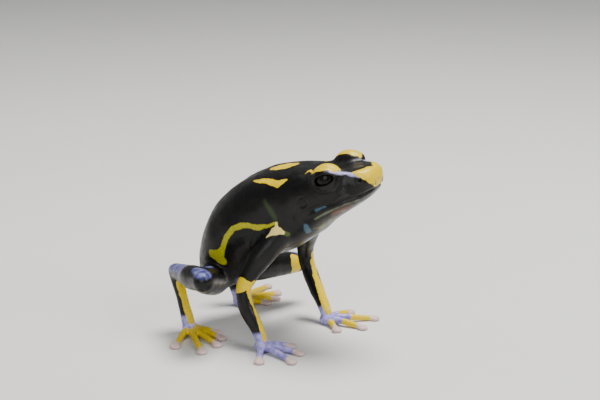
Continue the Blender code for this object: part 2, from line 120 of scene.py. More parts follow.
# Trunk sections: top and bottom in the midline plane (forward, up), half width, roll, squareness
TRUNK_SECTIONS = [
    ((-4.0, 30.5), (0.8, 16.4), 7.6, 10.0, 2.5),
    ((-8.6, 28.2), (-3.2, 14.6), 8.2, 9.0, 2.4),
    ((-12.2, 25.4), (-5.8, 12.2), 8.6, 7.0, 2.25),
    ((-14.9, 22.4), (-7.8, 10.0), 8.5, 4.0, 2.15),
    ((-16.7, 18.5), (-10.2, 8.3), 7.7, 2.0, 2.15),
    ((-17.9, 14.2), (-13.2, 7.4), 6.0, 0.0, 2.15),
    ((-18.9, 10.8), (-16.2, 7.6), 3.4, 0.0, 2.15),
]

# Limb joints, deep inside each limb
ARMS = {
    -1: {
        "shoulder": (0.2, -5.4, 20.0),
        "elbow": (-4.0, -10.0, 10.5),
        "wrist": (-0.4, -10.2, 2.3),
    },
    1: {
        "shoulder": (0.2, 5.4, 20.6),
        "elbow": (-4.2, 11.1, 11.0),
        "wrist": (1.6, 8.6, 2.3),
    },
}
LEGS = {
    -1: {
        "hip": (-14.0, -4.5, 9.2),
        "knee": (-7.5, -17.4, 13.2),
        "heel": (-19.9, -8.2, 11.0),
        "sole": (-16.8, -8.8, 2.0),
    },
    1: {
        "hip": (-14.0, 4.5, 9.2),
        "knee": (-9.6, 17.2, 7.8),
        "heel": (-21.3, 8.6, 9.2),
        "sole": (-18.0, 9.4, 2.0),
    },
}
ARM_RADII = (2.6, 2.2, 1.65, 1.4, 1.4, 1.15)
THIGH_RADII = (2.9, 2.75, 2.3, 1.9)
SHANK_RADII = (1.75, 2.05, 1.75, 1.4)
TARSUS_RADII = (1.35, 1.15, 1.2)

# Digits: angle from straight ahead towards the outer side, length from the palm
FINGERS = {
    -1: [(-42, 5.4), (-9, 7.4), (22, 9.0), (60, 7.2)],
    1: [(-38, 5.4), (2, 7.6), (42, 9.2), (82, 7.2)],
}
TOES = {
    -1: [(-18, 5.4), (4, 7.6), (24, 9.8), (44, 12.2), (70, 9.0)],
    1: [(34, 5.4), (54, 7.6), (74, 9.8), (96, 12.2), (122, 9.0)],
}
DIGIT_RADII = (0.72, 0.55)
DIGIT_HEIGHT = 0.36
DISC_SIZE = (1.1, 1.15, 0.5)
DIGIT_ROOT_AT = 0.4
DIGIT_ROOT_HEIGHT = 0.9
KNUCKLE_SHARE = 0.42
KNUCKLE_HEIGHT = 0.95
PALM_SIZE = (1.9, 1.7, 1.05)
SOLE_SIZE = (1.9, 1.5, 1.05)
PAD_FORWARD = 0.35
PAD_HEIGHT = 0.8

# Resolution of the skin, and its smoothing: rounds, and how far round a joint or an eye it reaches
VOXEL = 0.15
SMOOTH_STRENGTH = 0.5
SKIN_ROUNDS = 16
JOINT_ROUNDS = 120
JOINT_REACH = 6.0
LID_ROUNDS = 48
LID_REACH = 4.4
RIM_ROUNDS = 6
EVEN_ROUNDS = 30
UPPER_EVENNESS = 0.45
FADE_FROM = 1.4

# Where the limbs begin above the hands, and the body above the limbs: height and depth of the fade
LIMBS_FROM = (2.0, 1.5)
BODY_FROM = (15.0, 3.0)

# How finely the pieces are divided: points round each, and steps to each span along it
BODY_SIDES = 72
BODY_STEPS = 10
LIMB_SIDES = 28
ARM_STEPS = 16
LEG_STEPS = 20
TARSUS_STEPS = 12
DIGIT_SIDES = 20
DIGIT_STEPS = 8
END_TURNS = (30, 55, 80)
MOUTH_STEPS = 6
OPENING_SIDES = 40
EGG_RINGS = 20
DISC_RINGS = 16
EYE_RINGS = 48

# Hands and feet: their limbs, their digits, the joint that these start from, and the pad's size
HANDS = (ARMS, FINGERS, "wrist", PALM_SIZE)
FEET = (LEGS, TOES, "sole", SOLE_SIZE)


def head_frame():
    """Axes of the head: forwards, left and up, pitched and then rolled about its own axis."""
    forward = Vector((math.cos(HEAD_PITCH), 0.0, math.sin(HEAD_PITCH)))
    up = Vector((-math.sin(HEAD_PITCH), 0.0, math.cos(HEAD_PITCH)))
    left = Vector((0.0, 1.0, 0.0))
    roll = Matrix.Rotation(HEAD_ROLL, 3, forward)
    return forward, roll @ left, roll @ up


def head_point(behind, side, up):
    """A place on the head: behind the snout tip, to the frog's left, and up."""
    forward, left, upward = head_frame()
    return SNOUT_TIP - forward * behind + left * side + upward * up


def head_coordinates(points):
    """Behind, side and up of each point."""
    forward, left, up = (np.array(axis) for axis in head_frame())
    away = points - np.array(SNOUT_TIP)
    return -away @ forward, away @ left, away @ up


def eye_centre(side):
    return head_point(EYE_AT, side * EYE_SIDE, EYE_UP)


def eye_axes(side):
    """Where the eye looks, and the length and height of its opening."""
    forward, left, up = head_frame()
    outward = (left * side + forward * EYE_LOOKS_FORWARD + up * EYE_LOOKS_UP).normalized()
    along = (forward - outward * forward.dot(outward)).normalized()
    return outward, along, (up - outward * up.dot(outward) - along * up.dot(along)).normalized()


def head_side(behind, up):
    """How far to the side the head's skin lies at a height, from its sections."""
    rows = np.array(HEAD_SECTIONS)
    top, bottom, half_width, squareness = (np.interp(behind, rows[:, 0], rows[:, k]) for k in range(1, 5))
    share = abs(up - (top + bottom) / 2) / ((top - bottom) / 2)
    return half_width * max(0.0, 1 - share**squareness) ** (1 / squareness)


def head_skin(behind, up, side):
    """The place on the head's skin at that height on one side."""
    return head_point(behind, side * head_side(behind, up), up)


def mesh_object(name, bm):
    bm.normal_update()
    bmesh.ops.recalc_face_normals(bm, faces=bm.faces)
    mesh = bpy.data.meshes.new(name)
    bm.to_mesh(mesh)
    bm.free()
    result = bpy.data.objects.new(name, mesh)
    bpy.context.scene.collection.objects.link(result)
    return result


def apply_modifiers(target):
    """Replaces the object's mesh by what its modifiers make of it."""
    graph = bpy.context.evaluated_depsgraph_get()
    graph.update()
    mesh = bpy.data.meshes.new_from_object(target.evaluated_get(graph))
    target.modifiers.clear()
    target.data = mesh


def section(centre, left, up, half_width, half_height, squareness, sides):
    """Points of one closed section, a superellipse across the body."""
    points = []
    for index in range(sides):
        angle = 2 * math.pi * index / sides
        across = math.copysign(abs(math.cos(angle)) ** (2 / squareness), math.cos(angle))
        high = math.copysign(abs(math.sin(angle)) ** (2 / squareness), math.sin(angle))
        points.append(centre + left * (half_width * across) + up * (half_height * high))
    return points


def loft(name, rings):
    """A closed skin over the rings, with a fan on the middle of each end."""
    bm = bmesh.new()
    sides = len(rings[0])
    loops = [[bm.verts.new(point) for point in ring] for ring in rings]
    for near, far in zip(loops, loops[1:]):
        for index in range(sides):
            after = (index + 1) % sides
            bm.faces.new((near[index], near[after], far[after], far[index]))
    for loop in (loops[0], loops[-1]):
        hub = bm.verts.new(sum((vert.co for vert in loop), Vector()) / sides)
        for index in range(sides):
            bm.faces.new((loop[index], loop[(index + 1) % sides], hub))
    return mesh_object(name, bm)


def spline(points, count):
    """Catmull-Rom points through the given ones, count of them to each span."""
    ends = [points[0] * 2 - points[1], *points, points[-1] * 2 - points[-2]]
    result = []
    for a, b, c, d in zip(ends, ends[1:], ends[2:], ends[3:]):
        for step in range(count):
            t = step / count
            result.append(
                0.5 * (2 * b + (c - a) * t + (2 * a - 5 * b + 4 * c - d) * t**2
                       + (3 * b - a - 3 * c + d) * t**3)
            )
    result.append(points[-1].copy())
    return result


def tube(name, points, radii, sides=LIMB_SIDES):
    """A round limb along the points, closed by round ends."""
    along = [0.0]
    for before, after in zip(points, points[1:]):
        along.append(along[-1] + (after - before).length)
    places = [along[-1] * index / (len(radii) - 1) for index in range(len(radii))]
    sizes = np.interp(along, places, radii)
    rings = []
    left = (points[1] - points[0]).orthogonal().normalized()
    for index, point in enumerate(points):
        before = points[max(index - 1, 0)]
        after = points[min(index + 1, len(points) - 1)]
        heading = (after - before).normalized()
        left = (left - heading * left.dot(heading)).normalized()
        up = heading.cross(left)
        turns = [0]
        if index == 0:
            turns = [*(-turn for turn in reversed(END_TURNS)), 0]
        if index == len(points) - 1:
            turns = [0, *END_TURNS]
        for turn in turns:
            size = float(sizes[index]) * math.cos(math.radians(turn))
            middle = point + heading * (float(sizes[index]) * math.sin(math.radians(turn)))
            rings.append(section(middle, left, up, size, size, 2, sides))
    return loft(name, rings)


def ellipsoid(name, centre, axes, sizes, rings=EGG_RINGS):
    """A closed egg with its three half sizes along the three axes."""
    bm = bmesh.new()
    bmesh.ops.create_uvsphere(bm, u_segments=rings * 2, v_segments=rings, radius=1.0)
    turn = Matrix(axes).transposed()
    for vert in bm.verts:
        scaled = Vector(co * size for co, size in zip(vert.co, sizes))
        vert.co = centre + turn @ scaled
    return mesh_object(name, bm)


def body_sections():
    """Frames and sizes of the head and trunk sections, from the snout to the vent."""
    _, left, up = head_frame()
    for behind, top, bottom, half_width, squareness in HEAD_SECTIONS:
        centre = head_point(behind, 0.0, (top + bottom) / 2)
        yield [*centre, *left, *up, half_width, (top - bottom) / 2, squareness]
    for top, bottom, half_width, roll, squareness in TRUNK_SECTIONS:
        high = Vector((top[0], 0.0, top[1]))
        low = Vector((bottom[0], 0.0, bottom[1]))
        rise = (high - low).normalized()
        turn = Matrix.Rotation(math.radians(roll), 3, rise.cross(Vector((0, 1, 0))) * -1)
        across = turn @ Vector((0.0, 1.0, 0.0))
        half_height = (high - low).length / 2
        yield [*((high + low) / 2), *across, *(turn @ rise), half_width, half_height, squareness]


def dense_sections():
    return spline([np.array(row) for row in body_sections()], BODY_STEPS)


def mirrored(point):
    """The same place on the other side of the body, across its midline plane there."""
    place = np.array(point[:3])
    row = min(dense_sections(), key=lambda row: np.linalg.norm(row[:3] - place))
    left = row[3:6] / np.linalg.norm(row[3:6])
    other = place - 2 * left * ((place - row[:3]) @ left)
    return (*other, *point[3:])


def both_sides(*paths):
    """Paths on the trunk's right side, and the same on its left."""
    return [*paths, *([mirrored(place) for place in path] for path in paths)]


def body_loft():
    """Head and trunk as one skin, with smooth spans between the sections."""
    rings = []
    for row in dense_sections():
        centre, left, up = (Vector(row[index : index + 3]) for index in (0, 3, 6))
        left.normalize()
        up.normalize()
        rings.append(section(centre, left, up, *row[9:], BODY_SIDES))
    return loft("body", rings)


def digit_joints(root, side, angle, length):
    """Base, knuckle, tip and heading of a finger or toe."""
    turn = math.radians(angle)
    heading = Vector((math.cos(turn), side * math.sin(turn), 0.0))
    base = Vector((root.x, root.y, DIGIT_ROOT_HEIGHT)) + heading * DIGIT_ROOT_AT
    knuckle = Vector((root.x, root.y, KNUCKLE_HEIGHT)) + heading * (length * KNUCKLE_SHARE)
    tip = Vector((root.x, root.y, DIGIT_HEIGHT)) + heading * length
    return base, knuckle, tip, heading


def paw_root(paw, side):
    limbs, _, joint, _ = paw
    return Vector(limbs[side][joint])


def paw_digits(paw, side):
    """Base, knuckle, tip and heading of every digit of one hand or foot."""
    root = paw_root(paw, side)
    return [digit_joints(root, side, angle, length) for angle, length in paw[1][side]]


def paw_pieces(paw, side):
    """Palm or sole pad with its fingers or toes, each ending in a broad flat disc."""
    root, size = paw_root(paw, side), paw[3]
    flat = ((1, 0, 0), (0, 1, 0), (0, 0, 1))
    pad = Vector((root.x + size[0] * PAD_FORWARD, root.y, size[2] * PAD_HEIGHT))
    yield ellipsoid("palm", pad, flat, size)
    for base, knuckle, tip, heading in paw_digits(paw, side):
        yield tube("digit", spline([base, knuckle, tip], DIGIT_STEPS), DIGIT_RADII, DIGIT_SIDES)
        across = Vector((-heading.y, heading.x, 0.0))
        yield ellipsoid("disc", tip, (heading, across, (0, 0, 1)), DISC_SIZE, DISC_RINGS)


def limb_points(joints):
    return [Vector(place) for place in joints.values()]


def flesh_pieces():
    yield body_loft()
    lid = EYE_RADIUS + LID_THICKNESS
    for side in (-1, 1):
        yield ellipsoid("bulge", eye_centre(side), head_frame(), (lid * LID_LENGTHENING, lid, lid))
        shoulder, elbow, wrist = limb_points(ARMS[side])
        hip, knee, heel, sole = limb_points(LEGS[side])
        yield tube("arm", spline([shoulder, elbow, wrist], ARM_STEPS), ARM_RADII)
        yield tube("thigh", spline([hip, knee], LEG_STEPS), THIGH_RADII)
        yield tube("shank", spline([knee, heel], LEG_STEPS), SHANK_RADII)
        yield tube("tarsus", spline([heel, sole], TARSUS_STEPS), TARSUS_RADII)
        yield from paw_pieces(HANDS, side)
        yield from paw_pieces(FEET, side)


def remesh(target):
    step = target.modifiers.new("remesh", "REMESH")
    step.mode = "VOXEL"
    step.voxel_size = VOXEL
    apply_modifiers(target)


def fuse(pieces):
    """Joins closed pieces and remeshes them into one skin."""
    bm = bmesh.new()
    for piece in pieces:
        bm.from_mesh(piece.data)
        bpy.data.objects.remove(piece, do_unlink=True)
    whole = mesh_object("frog_skin", bm)
    remesh(whole)
    return whole


def read_points(mesh):
    points = np.empty(len(mesh.vertices) * 3)
    mesh.vertices.foreach_get("co", points)
    return points.reshape(-1, 3)


def write_points(mesh, points):
    mesh.vertices.foreach_set("co", points.ravel())
    mesh.update()


def smooth(target, rounds, weight_of):
    """Moves every point towards its neighbours, as far as its weight lets it."""
    mesh = target.data
    points = read_points(mesh)
    count = len(points)
    edges = np.empty(len(mesh.edges) * 2, dtype=np.int64)
    mesh.edges.foreach_get("vertices", edges)
    edges = edges.reshape(-1, 2)
    degree = np.bincount(edges.ravel(), minlength=count)[:, None]
    weight = weight_of(points)[:, None] * SMOOTH_STRENGTH
    for _ in range(rounds):
        total = np.zeros_like(points)
        for axis in range(3):
            total[:, axis] = np.bincount(edges[:, 0], points[edges[:, 1], axis], count)
            total[:, axis] += np.bincount(edges[:, 1], points[edges[:, 0], axis], count)
        points += weight * (total / degree - points)
    write_points(mesh, points)


def above(points, height, fade):
    """0 below the height, rising to 1 over the depth of the fade."""
    return np.clip((points[:, 2] - height) / fade, 0.0, 1.0)


def most_on_limbs(points):
    """0 at the hands and feet, 1 on the limbs and less on the body and head."""
    return above(points, *LIMBS_FROM) * (1.0 - above(points, *BODY_FROM) * (1.0 - UPPER_EVENNESS))


def distance_to(points, place):
    return np.linalg.norm(points - np.array(place), axis=1)


def near_any(points, centres, reach):
    """1 close to any of the centres, falling to 0 past the reach."""
    nearest = np.full(len(points), np.inf)
    for centre in centres:
        nearest = np.minimum(nearest, distance_to(points, centre))
    return np.clip(FADE_FROM - nearest / reach, 0.0, 1.0)


def everywhere(points):
    return np.ones(len(points))


def cut_away(target, cutter):
    """Takes the closed cutter out of the target and removes it."""
    step = target.modifiers.new("cut", "BOOLEAN")
    step.operation = "DIFFERENCE"
    step.solver = "MANIFOLD"
    step.object = cutter
    apply_modifiers(target)
    bpy.data.objects.remove(cutter, do_unlink=True)


def eye_opening(side):
    """The lens-shaped opening between the lids, cut right through to the socket."""
    outward, along, high = eye_axes(side)
    past_skin = EYE_RADIUS + OPENING_PAST_SKIN
    rings = []
    for depth in (0.0, past_skin):
        grow = 1.0 + EYE_OPENING_FLARE * depth / EYE_RADIUS
        half_length, half_height = (size * grow for size in EYE_OPENING)
        centre = eye_centre(side) + outward * depth
        rings.append(section(centre, along, high, half_length, half_height, 2, OPENING_SIDES))
    return loft("opening", rings)


# Relief of the skin: the height and width of each swelling or groove, and where it lies
MOUTH_END_FADE = 0.06
MOUTH_END_SHARE = 0.15
UPPER_LIP = (0.13, 0.32)
UPPER_LIP_AT = 0.55
LOWER_LIP = (0.11, 0.3)
LOWER_LIP_AT = -0.5
LIP_WIDTH = 1.1
MOUTH_GROOVE = (0.3, 0.2)
NOSTRIL_RIM = (0.1, 0.25)
NOSTRIL_RIM_AT = 0.5
NOSTRIL_PIT = (0.45, 0.26)
EAR_HOLLOW = (0.1, 0.5)
EAR_HOLLOW_FLAT = 0.5
EAR_RIM = (0.07, 0.16)
EAR_GROOVE = (0.09, 0.14)
EAR_GROOVE_AT = EAR_RADIUS - 0.3
LID_DEPTH = 0.8
LID_RIM = (0.1, 0.22)
LID_RIM_AT = 1.3
LOWER_LID_FADE = (0.6, 1.2)
CREASE_HALF = (2.5, 2.15)
CREASE_SCALE = 2.3
LOWER_CREASE = (0.16, 0.24)
UPPER_CREASE = (0.1, 0.22)
UPPER_CREASE_AT = 0.95
CANTHUS_RIDGE = (0.24, 0.75)
CANTHUS_RIDGE_PATH = [(5.6, 4.3, 3.1), (3.6, 3.8, 2.55), (1.8, 3.1, 2.1)]
CHEEK_HOLLOW = (0.34, 1.7)
CHEEK_HOLLOW_AT = (4.0, 0.6)
FLAT_CROWN = (0.22, 1.8)
CROWN_PATH = [(3.5, 0.0, 2.9), (8.5, 0.0, 4.0)]
FLANK = (0.4, 3.6)
FLANK_AT = (-4.2, -8.1, 17.2)
FOREARM_MUSCLE = (0.1, 2.6)
FOREARM_MUSCLE_AT = 0.3
CALF_MUSCLE = (0.26, 3.2)
CALF_MUSCLE_AT = 0.34
JOINT_CREASE = (0.2, 0.8)
JOINT_CREASE_AT = 1.5
DISC_FURROW = (0.1, 0.2)
DISC_FURROW_ENDS = ((0.1, 0.5), (1.0, 0.3))

# The ridge on the right hip and the folds of neck and armpit: path, height and width
TRUNK_RELIEF = (
    ([(-9.5, -3.4, 27.4), (-14.0, -3.0, 22.8), (-16.6, -2.4, 17.5)], (0.22, 1.6)),
    ([(4.6, -6.6, 27.0), (3.8, -7.0, 24.0), (3.9, -6.2, 21.0)], (-0.14, 0.45)),
    ([(-1.6, -7.7, 20.2), (-3.0, -7.9, 17.6), (-3.6, -7.5, 15.2)], (-0.22, 0.55)),
)

# Unevenness of the skin: height, size of its lumps and seed, and how many waves make it up
UNEVENNESS = ((0.03, 3.2, 11), (0.005, 0.9, 12))
WAVES = 24


def bell(distance, width):
    """1 at no distance, falling smoothly to 0 over a few widths."""
    return np.exp(-((distance / width) ** 2))


def swell(distance, size):
    """A swelling of the given height and width, or a groove where the height is negative."""
    height, width = size
    return height * bell(distance, width)


def ellipse_share(length, height, halves):
    """1 on the ellipse with these half sizes, less inside it and more outside."""
    return np.hypot(length / halves[0], height / halves[1])


def path_distance(points, path):
    """Distance of each point from a path, and how far along it the nearest place is, 0 to 1."""
    path = np.array([tuple(place)[:3] for place in path])
    lengths = np.linalg.norm(np.diff(path, axis=0), axis=1)
    starts = np.concatenate([[0.0], np.cumsum(lengths)])
    best = np.full(len(points), np.inf)
    where = np.zeros(len(points))
    for index, length in enumerate(lengths):
        step = path[index + 1] - path[index]
        share = np.clip((points - path[index]) @ step / length**2, 0.0, 1.0)
        distance = np.linalg.norm(points - path[index] - share[:, None] * step, axis=1)
        closer = distance < best
        best[closer] = distance[closer]
        where[closer] = (starts[index] + share[closer] * length) / starts[-1]
    return best, where


def wobble(points, size, seed):
    """Soft, seeded unevenness of about one in height, with lumps of about the given size."""
    chance = np.random.default_rng(seed)
    directions = chance.normal(size=(WAVES, 3))
    directions /= np.linalg.norm(directions, axis=1)[:, None]
    lengths = size * chance.uniform(0.7, 1.6, WAVES)
    phases = chance.uniform(0, 2 * math.pi, WAVES)
    total = np.zeros(len(points))
    for direction, length, phase in zip(directions, lengths, phases):
        total += np.sin(points @ direction * (2 * math.pi / length) + phase)
    return total / math.sqrt(WAVES)


def mouth_up(behind):
    """The height of the mouth line, level along the lip and turned down at its corner."""
    past_bend = np.clip((behind - MOUTH_BEND_AT) / (MOUTH_CORNER_AT - MOUTH_BEND_AT), 0.0, 1.0)
    return MOUTH_UP - MOUTH_DROP * past_bend**2


def mouth_path():
    """The line between the lips, from the right corner round the snout to the left one."""
    right, left = (
        [head_skin(behind, mouth_up(behind), side) for behind in MOUTH_STATIONS] for side in (-1, 1)
    )
    front = head_point(MOUTH_FRONT_AT, 0.0, MOUTH_UP)
    return spline([*right, front, *reversed(left)], MOUTH_STEPS)


def mouth_relief(points):
    """The groove between the lips, and the two lips that swell above and below it."""
    behind, _, up = head_coordinates(points)
    distance, where = path_distance(points, mouth_path())
    fade = np.clip(np.minimum(where, 1 - where) / MOUTH_END_FADE, MOUTH_END_SHARE, 1.0)
    over = up - mouth_up(behind)
    lips = swell(over - UPPER_LIP_AT, UPPER_LIP) + swell(over - LOWER_LIP_AT, LOWER_LIP)
    yield fade * (lips * bell(distance, LIP_WIDTH) - swell(distance, MOUTH_GROOVE))


def nostril_relief(points):
    """The two nostrils, small pits with a soft rim."""
    for side in (-1, 1):
        distance = distance_to(points, head_skin(NOSTRIL_AT, NOSTRIL_UP, side))
        yield swell(distance - NOSTRIL_RIM_AT, NOSTRIL_RIM) - swell(distance, NOSTRIL_PIT)


def ear_relief(points):
    """The tympanum: a round, slightly sunk disc with a fine rim."""
    for side in (-1, 1):
        distance = distance_to(points, head_skin(EAR_AT, EAR_UP, side))
        yield swell(distance - EAR_RADIUS, EAR_RIM)
        yield -swell(np.maximum(distance - EAR_HOLLOW_FLAT, 0.0), EAR_HOLLOW)
        yield -swell(distance - EAR_GROOVE_AT, EAR_GROOVE)


def lid_relief(points):
    """A raised rim along both lids, and the creases that part them from the cheek and the brow."""
    fade_start, fade_depth = LOWER_LID_FADE
    for side in (-1, 1):
        outward, along, high = (np.array(axis) for axis in eye_axes(side))
        away = points - np.array(eye_centre(side))
        length, height, depth = away @ along, away @ high, away @ outward
        outside = np.clip(depth / LID_DEPTH, 0.0, 1.0)
        below = np.clip(fade_start - height / fade_depth, 0.0, 1.0)
        crease = ellipse_share(length, height, CREASE_HALF)
        rim = swell(ellipse_share(length, height, EYE_OPENING) - LID_RIM_AT, LID_RIM)
        lower = swell((crease - 1.0) * CREASE_SCALE, LOWER_CREASE)
        upper = swell((crease - UPPER_CREASE_AT) * CREASE_SCALE, UPPER_CREASE)
        yield outside * (rim - below * lower - (1 - below) * upper)


def face_relief(points):
    """The sharp ridge from eye to nostril, the hollow under it and the flat crown of the head."""
    crown = [head_point(*place) for place in CROWN_PATH]
    yield -swell(path_distance(points, crown)[0], FLAT_CROWN)
    for side in (-1, 1):
        ridge = [head_point(behind, side * across, up) for behind, across, up in CANTHUS_RIDGE_PATH]
        yield swell(path_distance(points, ridge)[0], CANTHUS_RIDGE)
        yield -swell(distance_to(points, head_skin(*CHEEK_HOLLOW_AT, side)), CHEEK_HOLLOW)


def body_relief(points):
    """Full flanks, the hips' two ridges, and soft folds at the neck and armpits."""
    for (place,) in both_sides([FLANK_AT]):
        yield swell(distance_to(points, place), FLANK)
    for path, size in TRUNK_RELIEF:
        for fold in both_sides(path):
            yield swell(path_distance(points, fold)[0], size)


def limb_relief(points):
    """Muscle on the forearms and calves, and creases inside the elbows and heels."""
    for side in (-1, 1):
        shoulder, elbow, wrist = limb_points(ARMS[side])
        _, knee, heel, sole = limb_points(LEGS[side])
        yield swell(distance_to(points, elbow.lerp(wrist, FOREARM_MUSCLE_AT)), FOREARM_MUSCLE)
        yield swell(distance_to(points, knee.lerp(heel, CALF_MUSCLE_AT)), CALF_MUSCLE)
        for before, joint, after in ((knee, heel, sole), (shoulder, elbow, wrist)):
            into = ((before - joint).normalized() + (after - joint).normalized()).normalized()
            yield -swell(distance_to(points, joint + into * JOINT_CREASE_AT), JOINT_CREASE)


def disc_relief(points):
    """The fine furrow on the upper face of each disc, which parts it into two small pads."""
    for side in (-1, 1):
        for paw in (HANDS, FEET):
            for _, _, tip, heading in paw_digits(paw, side):
                furrow = [tip + heading * past + Vector((0, 0, up)) for past, up in DISC_FURROW_ENDS]
                yield -swell(path_distance(points, furrow)[0], DISC_FURROW)


def relief(points):
    """How far the skin stands out from its smooth shape."""
    total = np.zeros(len(points))
    head = (mouth_relief, nostril_relief, ear_relief, lid_relief, face_relief)
    for shape in (*head, body_relief, limb_relief, disc_relief):
        for height in shape(points):
            total += height
    for height, size, seed in UNEVENNESS:
        total += height * wobble(points, size, seed)
    return total


def raise_relief(target):
    mesh = target.data
    points = read_points(mesh)
    normals = np.empty(len(points) * 3, dtype=np.float32)
    mesh.vertex_normals.foreach_get("vector", normals)
    points += normals.reshape(-1, 3) * relief(points)[:, None]
    points[:, 2] = np.maximum(points[:, 2], 0.0)
    write_points(mesh, points)


def skin():
    """The whole skin: fused, smoothed, opened for the eyes and given its relief."""
    frog = fuse(flesh_pieces())
    eyes = [eye_centre(-1), eye_centre(1)]
    joints = [ARMS[side]["shoulder"] for side in (-1, 1)] + [LEGS[side]["hip"] for side in (-1, 1)]
    smooth(frog, SKIN_ROUNDS, everywhere)
    smooth(frog, JOINT_ROUNDS, lambda points: near_any(points, joints, JOINT_REACH))
    smooth(frog, LID_ROUNDS, lambda points: near_any(points, eyes, LID_REACH))
    size = EYE_RADIUS + SOCKET_GAP
    for side in (-1, 1):
        cut_away(frog, ellipsoid("socket", eye_centre(side), head_frame(), (size, size, size)))
        cut_away(frog, eye_opening(side))
    remesh(frog)
    smooth(frog, RIM_ROUNDS, everywhere)
    smooth(frog, EVEN_ROUNDS, most_on_limbs)
    raise_relief(frog)
    frog.data.shade_smooth()
    return frog


def stroke(points, places):
    """Signed distance from a band of skin along the places (x, y, z, half width), negative inside."""
    places = np.array(places, dtype=float)
    best = np.linalg.norm(points - places[0, :3], axis=1) - places[0, 3]
    for near, far in zip(places, places[1:]):
        step = far[:3] - near[:3]
        if not step.any():
            continue
        share = np.clip((points - near[:3]) @ step / (step @ step), 0.0, 1.0)
        distance = np.linalg.norm(points - near[:3] - share[:, None] * step, axis=1)
        best = np.minimum(best, distance - (near[3] + share * (far[3] - near[3])))
    return best


def on_head(places, side):
    """Places in head coordinates, with their half widths, on one side of the head."""
    return [(*head_point(behind, side * across, up), half) for behind, across, up, half in places]


def head_pairs(*patches):
    """Each of the patches on both sides of the head."""
    return [on_head(patch, side) for side in (-1, 1) for patch in patches]


# Markings and painted highlights on the head: behind the snout tip, to the side, up, half width
SNOUT_PATCH = [
    (0.1, 0.3, 0.0, 1.75),
    (0.4, 1.5, 0.8, 1.6),
    (0.9, 2.4, 1.4, 1.2),
    (1.6, 2.9, 1.9, 0.8),
    (2.4, 3.1, 2.2, 0.25),
]
LID_PATCH = [
    (11.3, 3.8, 4.3, 0.1),
    (11.0, 3.0, 4.5, 0.15),
    (10.7, 2.7, 4.55, 0.22),
    (10.2, 3.3, 4.7, 0.45),
    (9.6, 4.2, 5.0, 0.95),
    (8.4, 4.5, 5.2, 1.4),
    (6.8, 4.5, 5.1, 1.6),
    (5.5, 4.3, 4.2, 1.3),
    (4.7, 3.9, 3.4, 0.5),
]
# Small dark freckles on the snout
FRECKLES = [
    (0.5, 1.0, -0.9, 0.17),
    (0.2, 1.0, -0.5, 0.14),
    (0.3, 2.3, -0.1, 0.12),
    (0.1, 0.1, -0.3, 0.12),
    (0.5, 1.8, -0.8, 0.14),
]
# A painted highlight, pale lilac on the black skin, along the ridge from nostril to eye, and on over the
# right lid
CANTHUS_HIGHLIGHT_LINE = [(1.5, 3.4, 1.4, 0.14), (2.7, 3.5, 2.0, 0.22), (3.7, 3.5, 2.45, 0.24)]
LID_HIGHLIGHT_LINE = [
    (3.7, 3.5, 2.45, 0.24),
    (4.5, 4.6, 3.2, 0.25),
    (5.1, 5.5, 3.8, 0.2),
    (6.2, 5.8, 4.0, 0.12),
]
# A painted highlight along the rim of the lower lip
LIP_HIGHLIGHT_LINE = [
    (3.1, 3.8, -2.4, 0.1),
    (5.1, 5.0, -2.3, 0.14),
    (6.4, 5.4, -2.4, 0.16),
    (8.0, 5.6, -2.7, 0.18),
    (9.6, 5.9, -2.9, 0.18),
    (11.1, 6.1, -3.3, 0.16),
]
# Blue spots on the lips and the throat
LIP_SPOT = [(10.0, 6.3, -1.75, 0.35), (8.5, 6.05, -1.6, 0.28)]
THROAT_SPOT = [(13.3, 6.1, -4.0, 0.45), (14.1, 5.1, -5.4, 0.5)]
# Green and brown on the throat
THROAT_OLIVE = [
    (9.5, 3.9, -4.5, 0.6),
    (11.2, 3.5, -5.1, 1.0),
    (12.8, 3.4, -5.7, 1.2),
    (14.6, 3.0, -6.6, 1.3),
    (16.8, 2.6, -7.3, 1.1),
]
THROAT_BROWN = [
    (4.9, 4.0, -3.0, 0.5),
    (6.1, 4.5, -3.2, 0.7),
    (7.3, 4.8, -3.4, 0.7),
    (8.2, 4.9, -3.6, 0.4),
]

# Yellow on the back: place and half width
BACK_STRIPE = [
    (-6.9, -3.9, 28.0, 0.1),
    (-4.1, -5.1, 28.6, 0.42),
    (-2.0, -5.5, 29.1, 0.55),
    (-0.3, -5.9, 29.0, 0.6),
    (0.6, -6.0, 28.9, 0.7),
    (1.9, -5.6, 29.8, 0.25),
]
FAR_BACK_STRIPE = [
    (-2.7, -2.0, 30.6, 0.8),
    (-1.7, -1.7, 30.9, 1.3),
    (-0.5, -1.3, 31.1, 1.4),
    (0.5, -0.8, 31.4, 0.9),
]

# Markings on the trunk's right side that the left side has too, some in colours with painted light or
# painted shade: place and half width
# The side stripe and the groin patch: real yellow markings, painted a dim olive yellow as painted shade
SIDE_STRIPE = [
    (1.0, -7.1, 22.4, 0.2),
    (-0.6, -7.5, 21.7, 0.34),
    (-2.6, -7.8, 21.2, 0.52),
    (-4.2, -8.0, 21.4, 0.4),
    (-5.6, -8.2, 21.3, 0.52),
    (-7.2, -8.4, 20.5, 0.5),
    (-8.5, -8.5, 18.8, 0.52),
    (-9.3, -8.5, 16.8, 0.5),
    (-10.0, -8.4, 15.6, 0.8),
]
GROIN_PATCH = [
    (-11.9, -8.3, 15.3, 0.7),
    (-10.4, -8.3, 15.1, 1.2),
    (-9.2, -8.2, 13.4, 0.5),
    (-8.4, -8.0, 11.8, 0.35),
]
